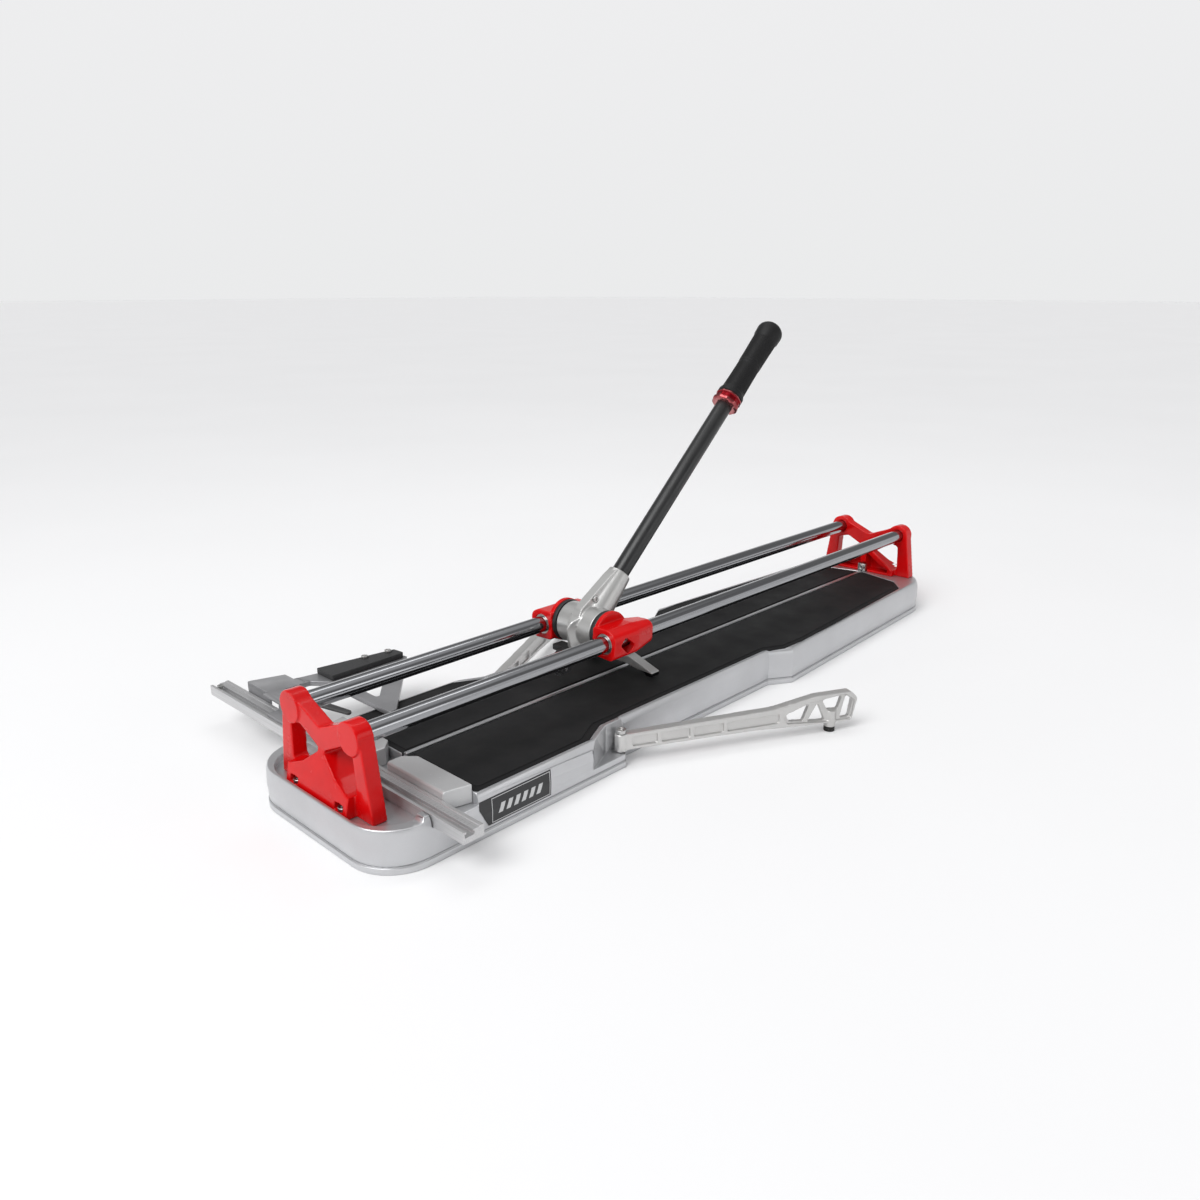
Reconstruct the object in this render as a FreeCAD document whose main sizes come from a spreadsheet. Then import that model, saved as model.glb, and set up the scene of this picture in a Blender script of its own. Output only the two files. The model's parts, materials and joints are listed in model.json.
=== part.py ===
"""Manual twin-rail tile cutter, modelled as separate pieces in one document.

Frame, in millimetres: X runs along the guide rails (minus X is the fence end, plus X the far end),
Y runs across, Z is up, and the origin lies on the ground under the middle of the rails.
"""
import FreeCAD, Part
import math
import os

from FreeCAD import Placement, Rotation, Vector

os.makedirs("parts", exist_ok=True)
doc = FreeCAD.newDocument("TileCutter")

# --------------------------------------------------------------------------------------
# Driving dimensions
# --------------------------------------------------------------------------------------
SIZES = {
    "base_near": -557, "base_far": 541, "base_half_width": 121.5, "waist_half_width": 103,
    "base_height": 50, "end_rim_height": 45.2, "flange_height": 7, "groove_height": 1.4, "facet_height": 27,
    "deck_height": 46, "pad_thickness": 4.8, "pad_step": 1.2, "rim_width": 4.5,
    "end_floor": 38, "channel_near": -501, "channel_far": -446, "cell_depth": 39, "end_cell_depth": 33,
    "strip_width": 5, "strip_top": 51.6, "strip_near": -444, "strip_far": 492,
    "rail_radius": 10, "rail_offset": 52, "rail_height": 118, "rail_near": -534, "rail_far": 519,
    "boss_radius": 17, "near_inner": -522, "far_inner": 507, "support_depth": 16,
    "apron_reach": 11.5, "buttress_reach": 11,
    "slider_near": -200, "slider_length": 70, "slider_inner": 34.5, "slider_outer": 70.5,
    "slider_low": 99, "slider_high": 136, "bush_radius": 12.4, "bush_length": 16, "bush_gap": 0.06,
    "pivot_x": -174, "pivot_height": 122, "hub_radius": 24.8, "hub_half_width": 27.4,
    "shaft_radius": 7, "shaft_half_length": 40, "disc_radius": 25.4, "disc_thickness": 5.6,
    "handle_angle": 42.8, "socket_end": 78, "socket_radius": 14.5, "tube_radius": 11,
    "tube_wall": 2, "tube_start": 34, "tube_end": 470, "collar_start": 352, "collar_length": 15,
    "collar_radius": 18.5, "grip_end": 497, "grip_radius": 16.5,
    "wheel_radius": 11, "wheel_thickness": 3, "wheel_dx": -46, "wheel_dz": -40, "axle_radius": 2.5,
    "foot_near": -118, "foot_depth": 14, "foot_pin_x": -111, "foot_pin_height": 80,
    "foot_pin_radius": 3, "foot_half_span": 56, "foot_bottom": 53.1,
    "bar_near": -500, "bar_width": 24, "bar_bottom": 38.3, "bar_top": 50.4,
    "bar_right": -165, "bar_left": 320, "fence_top": 58,
    "arm_pivot_x": -234, "arm_pivot_y": 111, "arm_angle": 27.5, "arm_length": 301,
    "arm_thickness": 12, "arm_bottom": 18.4, "arm_foot_at": 268, "arm_top": 49.4,
    "arm_bolt_radius": 3.5, "arm_root_radius": 7.4, "arm_boss_radius": 6.8,
    "lug_along": 28, "lug_offset": 20.5, "web_half_width": 6.5, "lug_screw_radius": 2.4,
    "saddle_top": 62, "square_bottom": 52.6, "square_thickness": 6, "stop_strip_height": 7, "lever_bottom": 62.3,
    "fence_screw_radius": 3.4, "label_thickness": 0.6,
}
sheet = doc.addObject("Spreadsheet::Sheet", "Sizes")
for row, (alias, value) in enumerate(SIZES.items(), start=1):
    sheet.set("A%d" % row, alias)
    sheet.set("B%d" % row, str(value))
    sheet.setAlias("B%d" % row, alias)
doc.recompute()


def size(alias):
    """Value of a driving dimension, read from the sheet."""
    return float(sheet.get(alias))


# --------------------------------------------------------------------------------------
# Helpers
# --------------------------------------------------------------------------------------
PLANES = {"XY": "XY_Plane", "XZ": "XZ_Plane", "YZ": "YZ_Plane"}
NODES = []


def keep(obj, label):
    """Name a finished sub-part and put it on the list of pieces to write."""
    obj.Label = label
    NODES.append(obj)
    return obj


def outline(points):
    """Closed run of lines through (x, y) points; a third value rounds that corner."""
    corners = []
    count = len(points)
    for index, point in enumerate(points):
        here = Vector(point[0], point[1], 0)
        radius = point[2] if len(point) > 2 else 0
        if not radius:
            corners.append((here, None, here))
            continue
        before = Vector(points[index - 1][0], points[index - 1][1], 0)
        after = Vector(points[(index + 1) % count][0], points[(index + 1) % count][1], 0)
        to_before = (before - here).normalize()
        to_after = (after - here).normalize()
        half = to_before.getAngle(to_after) / 2
        reach = radius / math.tan(half)
        bisector = (to_before + to_after).normalize()
        middle = here + bisector * (radius / math.sin(half) - radius)
        corners.append((here + to_before * reach, middle, here + to_after * reach))
    edges = []
    for index, (start, middle, end) in enumerate(corners):
        if middle is not None:
            edges.append(Part.Arc(start, middle, end))
        following = corners[(index + 1) % count][0]
        if (following - end).Length > 1e-6:
            edges.append(Part.LineSegment(end, following))
    return edges


def circle(x, y, radius):
    """A full circle as sketch geometry."""
    return [Part.Circle(Vector(x, y, 0), Vector(0, 0, 1), radius)]


def new_body(name):
    """An empty PartDesign body."""
    return doc.addObject("PartDesign::Body", name)


def add_sketch(body, plane, offset, *loops):
    """A sketch of closed loops on one of the body's own planes, moved along its normal."""
    sketch = body.newObject("Sketcher::SketchObject", body.Name + "Sketch")
    support = [item for item in body.Origin.OriginFeatures if item.Role == PLANES[plane]][0]
    sketch.AttachmentSupport = [(support, "")]
    sketch.MapMode = "FlatFace"
    if isinstance(offset, str):
        sketch.setExpression("AttachmentOffset.Base.z", offset)
    else:
        sketch.AttachmentOffset = Placement(Vector(0, 0, offset), Rotation())
    for loop in loops:
        for edge in loop:
            sketch.addGeometry(edge, False)
    return sketch


def feature(body, kind, sketch, length=None, **settings):
    """A Pad, Pocket, Revolution or other sketch feature; length may be an expression."""
    item = body.newObject("PartDesign::" + kind, body.Name + kind)
    item.Profile = sketch
    if isinstance(length, str):
        item.setExpression("Length", length)
    elif length is not None:
        item.Length = length
    for key, value in settings.items():
        setattr(item, key, value)
    sketch.Visibility = False
    return item


def cut(body, sketch, length, **settings):
    """A Pocket that must remove material."""
    doc.recompute()
    before = body.Shape.Volume
    item = feature(body, "Pocket", sketch, length, **settings)
    doc.recompute()
    if body.Shape.Volume > before - 1:
        raise RuntimeError("%s removed nothing from %s" % (item.Name, body.Name))
    return item


def cylinder(name, radius, height, place):
    """A Part cylinder whose radius and height are expressions on the sheet."""
    item = doc.addObject("Part::Cylinder", name)
    item.setExpression("Radius", radius)
    item.setExpression("Height", height)
    item.Placement = place
    return item


def box(name, corner, lengths):
    """A Part box from its low corner."""
    item = doc.addObject("Part::Box", name)
    item.Length, item.Width, item.Height = lengths
    item.Placement = Placement(Vector(*corner), Rotation())
    return item


def fuse(name, *items):
    """Union of Part objects."""
    item = doc.addObject("Part::MultiFuse", name)
    item.Shapes = list(items)
    return item


def subtract(name, base, *tools):
    """Base minus the tools."""
    tool = tools[0] if len(tools) == 1 else fuse(name + "Tools", *tools)
    item = doc.addObject("Part::Cut", name)
    item.Base = base
    item.Tool = tool
    return item


def group(name, shapes):
    """Identical fasteners kept as separate solids in one sub-part."""
    item = doc.addObject("Part::Feature", name)
    item.Shape = Part.makeCompound(shapes)
    return keep(item, name)


def socket_screw(place, shank_radius, shank_length, head_radius, head_height):
    """Socket head screw along its own Z: head above the origin, shank below."""
    head = Part.makeCylinder(head_radius, head_height)
    shank = Part.makeCylinder(shank_radius, shank_length, Vector(0, 0, -shank_length))
    hexagon = Part.makePolygon([
        Vector(head_radius * 0.55 * math.cos(math.radians(60 * i)),
               head_radius * 0.55 * math.sin(math.radians(60 * i)), head_height * 0.4)
        for i in range(7)])
    recess = Part.Face(hexagon).extrude(Vector(0, 0, head_height))
    screw = head.fuse(shank).cut(recess).removeSplitter()
    screw.Placement = place
    return screw


ALONG_X = Rotation(Vector(0, 0, 1), Vector(1, 0, 0))
ALONG_Y = Rotation(Vector(0, 0, 1), Vector(0, 1, 0))
AGAINST_Y = Rotation(Vector(0, 0, 1), Vector(0, -1, 0))
AGAINST_X = Rotation(Vector(0, 0, 1), Vector(-1, 0, 0))
DOWN = Rotation(Vector(0, 0, 1), Vector(0, 0, -1))

base_near, base_far = size("base_near"), size("base_far")
base_half, waist_half = size("base_half_width"), size("waist_half_width")
base_height, deck_height = size("base_height"), size("deck_height")
end_floor = size("end_floor")
channel_near, channel_far = size("channel_near"), size("channel_far")
rail_offset, rail_height = size("rail_offset"), size("rail_height")
rail_radius = size("rail_radius")
pivot = Vector(size("pivot_x"), 0, size("pivot_height"))

# Stations along X where the plan outline of the base changes
waist_near_low, waist_near_high = -236, -222
cut_back_near, cut_back_far = -288, -251
bump_near, bump_far = 68, 98
far_half = 98.5
near_corner, far_corner = 52, 54

# The fence blocks are screwed down from below, at these places
FENCE_SCREW_Y = (30, 52)
fence_screw_x = (channel_far + size("bar_near") + size("bar_width")) / 2


def base_outline(inset):
    """Plan outline of the base casting, moved inwards by inset."""
    right = [
        (base_near + inset, -base_half + inset, near_corner - inset),
        (waist_near_low - inset * 0.5, -base_half + inset, 4),
        (waist_near_high - inset * 0.5, -waist_half + inset, 4),
        (bump_near + inset * 0.5, -waist_half + inset, 4),
        (bump_far + inset * 0.5, -base_half + inset, 4),
        (base_far - inset, -far_half + inset, far_corner - inset),
    ]
    left = [(x, -y, radius) for x, y, radius in reversed(right)]
    return outline(right + left)


# --------------------------------------------------------------------------------------
# Base casting
# --------------------------------------------------------------------------------------
def build_base():
    """Ribbed casting: flange, groove, two side facets, rim, deck recess, end wells, fence channel."""
    body = new_body("base_casting")
    feature(body, "Pad", add_sketch(body, "XY", 0, base_outline(0)), "Sizes.flange_height")
    feature(body, "Pad", add_sketch(body, "XY", "Sizes.flange_height", base_outline(1.6)),
            "Sizes.groove_height")
    groove_top = size("flange_height") + size("groove_height")
    levels = [
        (groove_top, 1.0),
        (size("facet_height"), 0.0),
        (base_height - 9, 0.9),
        (base_height - 4.6, 2.1),
        (base_height - 1.4, 3.5),
        (base_height, 4.8),
    ]
    sections = [add_sketch(body, "XY", level, base_outline(inset)) for level, inset in levels]
    loft = body.newObject("PartDesign::AdditiveLoft", "base_sides")
    loft.Profile = sections[0]
    loft.Sections = sections[1:]
    loft.Ruled = True
    loft.Closed = False

    for side in (-1, 1):
        corner = outline([
            (cut_back_near, side * (base_half + 6)), (cut_back_near, side * (base_half - 1)),
            (cut_back_far, side * waist_half, 6), (waist_near_high, side * waist_half),
            (waist_near_high + 12, side * (base_half + 6)),
        ])
        cut(body, add_sketch(body, "XY", base_height + 1, corner), base_height + 1 - 16)

    pads = [pad_outline(side, -0.3) for side in (-1, 1)]
    seat = outline([(channel_far - 1, -3.6), (size("strip_far") + 0.4, -3.6),
                    (size("strip_far") + 0.4, 3.6), (channel_far - 1, 3.6)])
    for loop in pads:
        cut(body, add_sketch(body, "XY", base_height + 1, loop), base_height + 1 - deck_height)
    cut(body, add_sketch(body, "XY", base_height + 1, seat), base_height + 1 - deck_height)

    well = outline([(base_near + 5.5, -106, 44), (channel_near + 1, -106, 3),
                    (channel_near + 1, 106, 3), (base_near + 5.5, 106, 44)])
    channel = outline([(channel_near, -base_half - 5), (channel_far, -base_half - 5),
                       (channel_far, base_half + 5), (channel_near, base_half + 5)])
    for loop in (well, channel):
        cut(body, add_sketch(body, "XY", base_height + 1, loop), base_height + 1 - end_floor)

    # The rim round the end well is lower than the deck
    end_rim = size("end_rim_height")
    step = outline([(base_near - 5, end_rim), (channel_near - 9, end_rim, 5), (channel_near - 5.5, base_height + 1),
                    (base_near - 5, base_height + 1)])
    cut(body, add_sketch(body, "XZ", base_half + 5, step), 2 * base_half + 10)

    # Underside cells between cross ribs, open below; shallower under the end wells
    cell_count = 11
    pitch = (base_far - base_near - 30) / cell_count
    for depth, indices, limit in (("Sizes.end_cell_depth", (0, cell_count - 1), 60),
                                  ("Sizes.cell_depth", range(1, cell_count - 1), 94)):
        cells = []
        for index in indices:
            near = base_near + 19 + index * pitch
            for side in (-1, 1):
                cells.append(outline([(near, side * 6, 5), (near + pitch - 8, side * 6, 5),
                                      (near + pitch - 8, side * limit, 5), (near, side * limit, 5)]))
        cut(body, add_sketch(body, "XY", 0, *cells), depth, Reversed=True)

    # Threaded holes for the arm bolts and the support bolts
    holes = [circle(size("arm_pivot_x"), side * size("arm_pivot_y"), size("arm_bolt_radius"))
             for side in (-1, 1)]
    cut(body, add_sketch(body, "XY", 16.5, *holes), 14)
    for end in (-1, 1):
        bolts = [circle(support_bolt_x(end), side * 40, 4) for side in (-1, 1)]
        cut(body, add_sketch(body, "XY", support_floor(end) + 1, *bolts), 10)
    through = [circle(fence_screw_x, side * y, size("fence_screw_radius") + 0.3)
               for side in (-1, 1) for y in FENCE_SCREW_Y]
    cut(body, add_sketch(body, "XY", end_floor + 1, *through), 10)
    return keep(body, "base_casting")


def pad_outline(side, clearance):
    """Plan outline of one rubber pad; a negative clearance makes the recess it lies in."""
    edge = size("rim_width") + 1 + clearance
    points = [
        (channel_far + 1.2 + clearance, side * (3.9 + clearance)),
        (channel_far + 1.2 + clearance, side * (base_half - edge), 7),
        (cut_back_near - 3, side * (base_half - edge), 10),
        (cut_back_far - 4, side * (waist_half - edge), 10),
        (bump_near - 2, side * (waist_half - edge), 8),
        (bump_far - 6, side * (base_half - edge - 4), 12),
        (bump_far + 40, side * (base_half - edge - 2.5), 60),
        (446 - clearance, side * (94 - clearance), 12),
        (474 - clearance, side * (70 - clearance), 10),
        (491 - clearance, side * (3.9 + clearance)),
    ]
    return outline(points if side > 0 else points[::-1])


def build_pads():
    """Two rubber pads with a lowered border along their outer edge."""
    for label, side in (("pad_right", -1), ("pad_left", 1)):
        body = new_body(label)
        lower = add_sketch(body, "XY", "Sizes.deck_height", pad_outline(side, 0))
        feature(body, "Pad", lower, "Sizes.pad_thickness - Sizes.pad_step")
        upper_level = "Sizes.deck_height + Sizes.pad_thickness - Sizes.pad_step"
        points = [
            (channel_far + 8, side * 7), (channel_far + 8, side * (base_half - 13), 6),
            (cut_back_near - 7, side * (base_half - 13), 10), (cut_back_far - 8, side * (waist_half - 13), 10),
            (bump_near + 2, side * (waist_half - 13), 8), (bump_far - 2, side * (base_half - 17), 12),
            (bump_far + 44, side * (base_half - 15.5), 60), (443, side * 86, 12), (467, side * 66, 10),
            (482, side * 7),
        ]
        upper = add_sketch(body, "XY", upper_level, outline(points if side > 0 else points[::-1]))
        feature(body, "Pad", upper, "Sizes.pad_step")
        keep(body, label)


def build_strip():
    """Steel breaking strip between the pads, with its far anchor and its screw."""
    body = new_body("breaking_strip")
    half = size("strip_width") / 2
    top = size("strip_top")
    section = outline([(-3.3, deck_height), (3.3, deck_height), (3.3, deck_height + 2.4), (half, deck_height + 2.4),
                       (half, top - 1), (half - 1, top), (1 - half, top), (-half, top - 1),
                       (-half, deck_height + 2.4), (-3.3, deck_height + 2.4)])
    sketch = add_sketch(body, "YZ", "Sizes.strip_near", section)
    feature(body, "Pad", sketch, "Sizes.strip_far - Sizes.strip_near")
    keep(body, "breaking_strip")

    anchor_near = size("strip_far") + 1.2
    anchor_screw_height = 57.5
    block = box("AnchorBlock", (anchor_near, -7, base_height + 0.1), (7.5, 14, 13.4))
    window = cylinder("AnchorBore", "Sizes.foot_pin_radius", "Sizes.bush_length",
                      Placement(Vector(anchor_near - 3, 0, anchor_screw_height), ALONG_X))
    keep(subtract("strip_anchor", block, window), "strip_anchor")
    screw = socket_screw(Placement(Vector(anchor_near, 0, anchor_screw_height), AGAINST_X), 2.95, 7.2, 5, 4)
    group("strip_anchor_screw", [screw])


# --------------------------------------------------------------------------------------
# End supports and rails
# --------------------------------------------------------------------------------------
def support_bolt_x(end):
    """Station of the bolts of one support; end is -1 at the near end and 1 at the far end."""
    face = size("near_inner") if end < 0 else size("far_inner")
    return face + end * (size("support_depth") + size("apron_reach") - 6.5)


def support_floor(end):
    """Level that a support stands on: the floor of the well at the near end, the deck rim at the far end."""
    return end_floor if end < 0 else base_height


def build_support(label, end):
    """Cast end support: two rail bosses, a V valley, two windows and an apron that leans outwards."""
    body = new_body(label)
    inner = size("near_inner") if end < 0 else size("far_inner")
    depth = size("support_depth")
    low, high = (inner - depth, inner) if end < 0 else (inner, inner + depth)
    foot = support_floor(end) + 0.1
    leg = rail_offset + size("boss_radius") + 12 * (118 - foot) / 80
    boss = size("boss_radius")
    face = outline([
        (0, 112, 8), (-34, 126, 10), (-50, 135.2, 12), (-66, 133, 14), (-rail_offset - boss, 118, 6),
        (-leg, foot), (leg, foot), (rail_offset + boss, 118, 6), (66, 133, 14), (50, 135.2, 12), (34, 126, 10),
    ])
    feature(body, "Pad", add_sketch(body, "YZ", low, face), depth)
    bosses = [circle(side * rail_offset, rail_height, boss) for side in (-1, 1)]
    start = low - 2 if end < 0 else low
    feature(body, "Pad", add_sketch(body, "YZ", start, *bosses), depth + 2)

    # Apron: leans from the plate out to the end of the well
    outer = low if end < 0 else high
    reach = end * size("apron_reach")
    apron = outline([(outer - end * 6, 92), (outer, 90), (outer + reach * 0.75, foot + 18, 10),
                     (outer + reach, foot + 4), (outer + reach, foot), (outer - end * 6, foot)])
    feature(body, "Pad", add_sketch(body, "XZ", -54, apron), 108)

    # Inner buttress behind the central panel, standing on the floor of the well
    buttress = outline([(0, 99, 4), (-32, 76, 10), (-54, foot + 10, 4), (-54, foot), (54, foot), (54, foot + 10, 4),
                        (32, 76, 10)])
    near_face = inner - 2 if end < 0 else inner - size("buttress_reach")
    feature(body, "Pad", add_sketch(body, "YZ", near_face, buttress), size("buttress_reach") + 2)

    # Windows on both sides of the central panel, and the lightened inner side
    for side in (-1, 1):
        window = outline([(side * 3, 88, 3), (side * 37, 104.5, 6), (side * 54.5, 100, 5), (side * 56.5, 59, 4),
                          (side * 48, 61, 5), (side * 29, 69, 12)])
        cut(body, add_sketch(body, "YZ", -600 if end < 0 else 500, window), 100, Reversed=True)
        rib = outline([(side * 5, 84, 3), (side * 30, 66, 6), (side * 45, 60, 2), (side * 45, foot + 4, 2),
                       (side * 5, foot + 4, 2)])
        cut(body, add_sketch(body, "YZ", inner - end * size("buttress_reach"), rib), 9 + size("buttress_reach"),
            Reversed=(end > 0))
    bores = [circle(side * rail_offset, rail_height, rail_radius) for side in (-1, 1)]
    bore_depth = inner - size("rail_near") if end < 0 else size("rail_far") - inner
    cut(body, add_sketch(body, "YZ", inner, *bores), bore_depth + 0.2, Reversed=(end > 0))

    # Notches over the two fixing bolts
    notches = [outline([(outer + reach - end * 13, side * 47, 2), (outer + reach + end, side * 47),
                        (outer + reach + end, side * 33), (outer + reach - end * 13, side * 33, 2)])
               for side in (-1, 1)]
    cut(body, add_sketch(body, "XY", foot + 12, *notches), 12 - 4)
    holes = [circle(support_bolt_x(end), side * 40, 4.2) for side in (-1, 1)]
    cut(body, add_sketch(body, "XY", foot + 14, *holes), 20)
    if end > 0:
        anchor_room = outline([(-8.5, foot - 1), (8.5, foot - 1), (8.5, 66), (-8.5, 66)])
        cut(body, add_sketch(body, "YZ", near_face - 1, anchor_room), 7, Reversed=True)
    return keep(body, label)


def build_rails():
    """Two ground and chromed guide rails."""
    for label, side in (("rail_right", -1), ("rail_left", 1)):
        place = Placement(Vector(size("rail_near"), side * rail_offset, rail_height), ALONG_X)
        keep(cylinder(label, "Sizes.rail_radius", "Sizes.rail_far - Sizes.rail_near", place), label)


def build_support_screws():
    """Four screws that fix the supports in the end wells."""
    screws = [socket_screw(Placement(Vector(support_bolt_x(end), side * 40, support_floor(end) + 4.1), Rotation()),
                           3.9, 12, 5.5, 4)
              for end in (-1, 1) for side in (-1, 1)]
    group("support_screws", screws)


# --------------------------------------------------------------------------------------
# Carriage: two sliders on the rails, joined by the pivot shaft of the hub
# --------------------------------------------------------------------------------------
slider_near = size("slider_near")
slider_far = slider_near + size("slider_length")
slider_inner, slider_outer = size("slider_inner"), size("slider_outer")
slider_low, slider_high = size("slider_low"), size("slider_high")


def build_slider(label, side):
    """Cast slider: a housing round the rail, a round flange at the pivot and an open side window."""
    body = new_body(label)
    nose_near = slider_far - 28
    housing = outline([(side * slider_inner, slider_low + 2, 5), (side * (slider_outer - 2), slider_low, 9),
                       (side * slider_outer, slider_high - 6, 10), (side * (slider_outer - 12), slider_high, 8),
                       (side * slider_inner, slider_high, 4)])
    nose = outline([(side * (slider_inner + 2), slider_low + 4.5, 8),
                    (side * (slider_outer - 5), slider_low + 4, 11),
                    (side * (slider_outer - 3.4), slider_high - 7, 8),
                    (side * (slider_outer - 11), slider_high - 2.6, 7),
                    (side * (slider_inner + 3.4), slider_high - 3.6, 7)])
    feature(body, "Pad", add_sketch(body, "YZ", "Sizes.slider_near", housing), "Sizes.slider_length - 28")
    loft = body.newObject("PartDesign::AdditiveLoft", label + "_nose")
    loft.Profile = add_sketch(body, "YZ", nose_near, housing)
    loft.Sections = [add_sketch(body, "YZ", slider_far, nose)]
    loft.Ruled = True
    loft.Closed = False
    flange = circle(pivot.x, pivot.z, size("disc_radius") + 1)
    feature(body, "Pad", add_sketch(body, "XZ", -side * slider_inner, flange), 6, Reversed=(side > 0))

    # Side window, through which the rail shows
    window = outline([(slider_near + 11, slider_low + 18, 3), (slider_near + 19, slider_low + 27, 3),
                      (slider_near + 36, slider_low + 14, 3), (slider_near + 25, slider_low + 4, 4)])
    cut(body, add_sketch(body, "XZ", -side * rail_offset, window), 24, Reversed=(side < 0))
    for near, depth, radius in ((slider_near - 1, size("slider_length") + 2, rail_radius + 0.8),
                                (slider_near - 1, size("bush_length") + 1, size("bush_radius")),
                                (slider_far - size("bush_length"), size("bush_length") + 1, size("bush_radius"))):
        bore = circle(side * rail_offset, rail_height, radius)
        cut(body, add_sketch(body, "YZ", near, bore), depth, Reversed=True)
    seat = circle(pivot.x, pivot.z, size("shaft_radius") + 0.05)
    cut(body, add_sketch(body, "XZ", -side * (slider_inner - 1), seat),
        size("shaft_half_length") - slider_inner + 1.2, Reversed=(side < 0))
    return keep(body, label)


def build_bushings():
    """Two plain bearing rings in each slider."""
    for label, side in (("bushings_right", -1), ("bushings_left", 1)):
        rings = []
        for near in (slider_near + 0.8, slider_far - size("bush_length")):
            length = size("bush_length") - 0.8
            place = Vector(near, side * rail_offset, rail_height)
            outer = Part.makeCylinder(size("bush_radius"), length, place, Vector(1, 0, 0))
            inner = Part.makeCylinder(rail_radius + size("bush_gap"), length + 2, place - Vector(1, 0, 0),
                                      Vector(1, 0, 0))
            rings.append(outer.cut(inner))
        group(label, rings)


def build_carriage_small():
    """Pivot shaft and the black discs beside the hub."""
    half = size("shaft_half_length")
    keep(cylinder("pivot_shaft", "Sizes.shaft_radius", "2 * Sizes.shaft_half_length",
                  Placement(pivot + Vector(0, -half, 0), ALONG_Y)), "pivot_shaft")
    for label, side in (("side_disc_right", -1), ("side_disc_left", 1)):
        start = pivot + Vector(0, side * (slider_inner - 0.1), 0)
        turn = AGAINST_Y if side > 0 else ALONG_Y
        disc = cylinder(label + "_plate", "Sizes.disc_radius", "Sizes.disc_thickness", Placement(start, turn))
        hole = cylinder(label + "_hole", "Sizes.shaft_radius + 0.05", "Sizes.disc_thickness + 2",
                        Placement(start + Vector(0, side, 0), turn))
        keep(subtract(label, disc, hole), label)


# --------------------------------------------------------------------------------------
# Handle head: hub, socket, tube, collar and grip, which tilt together about the pivot
# --------------------------------------------------------------------------------------
handle_angle = math.radians(size("handle_angle"))
handle_direction = Vector(math.cos(handle_angle), 0, math.sin(handle_angle))
along_handle = Rotation(Vector(0, 0, 1), handle_direction)
wheel_centre = pivot + Vector(size("wheel_dx"), 0, size("wheel_dz"))
foot_pin = Vector(size("foot_pin_x"), 0, size("foot_pin_height"))


def hub_point(along, across, radius=0):
    """Outline corner (x, z, radius) given along the handle axis from the pivot and square to it, upwards."""
    point = pivot + handle_direction * along + Vector(-handle_direction.z, 0, handle_direction.x) * across
    return (point.x, point.z, radius)


lug_xz = hub_point(size("lug_along"), size("lug_offset"))
lug_point = Vector(lug_xz[0], 0, lug_xz[1])


def side_plate(name, half_width, points):
    """Plate of an (x, z) outline, half_width to each side of the middle plane."""
    profile = doc.addObject("Sketcher::SketchObject", name + "Profile")
    profile.Placement = Placement(Vector(0, half_width, 0), Rotation(Vector(1, 0, 0), 90))
    for edge in outline(points):
        profile.addGeometry(edge, False)
    plate = doc.addObject("Part::Extrusion", name)
    plate.Base = profile
    plate.DirMode = "Custom"
    plate.Dir = Vector(0, -1, 0)
    plate.LengthFwd = 2 * half_width
    plate.Solid = True
    return plate


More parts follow.
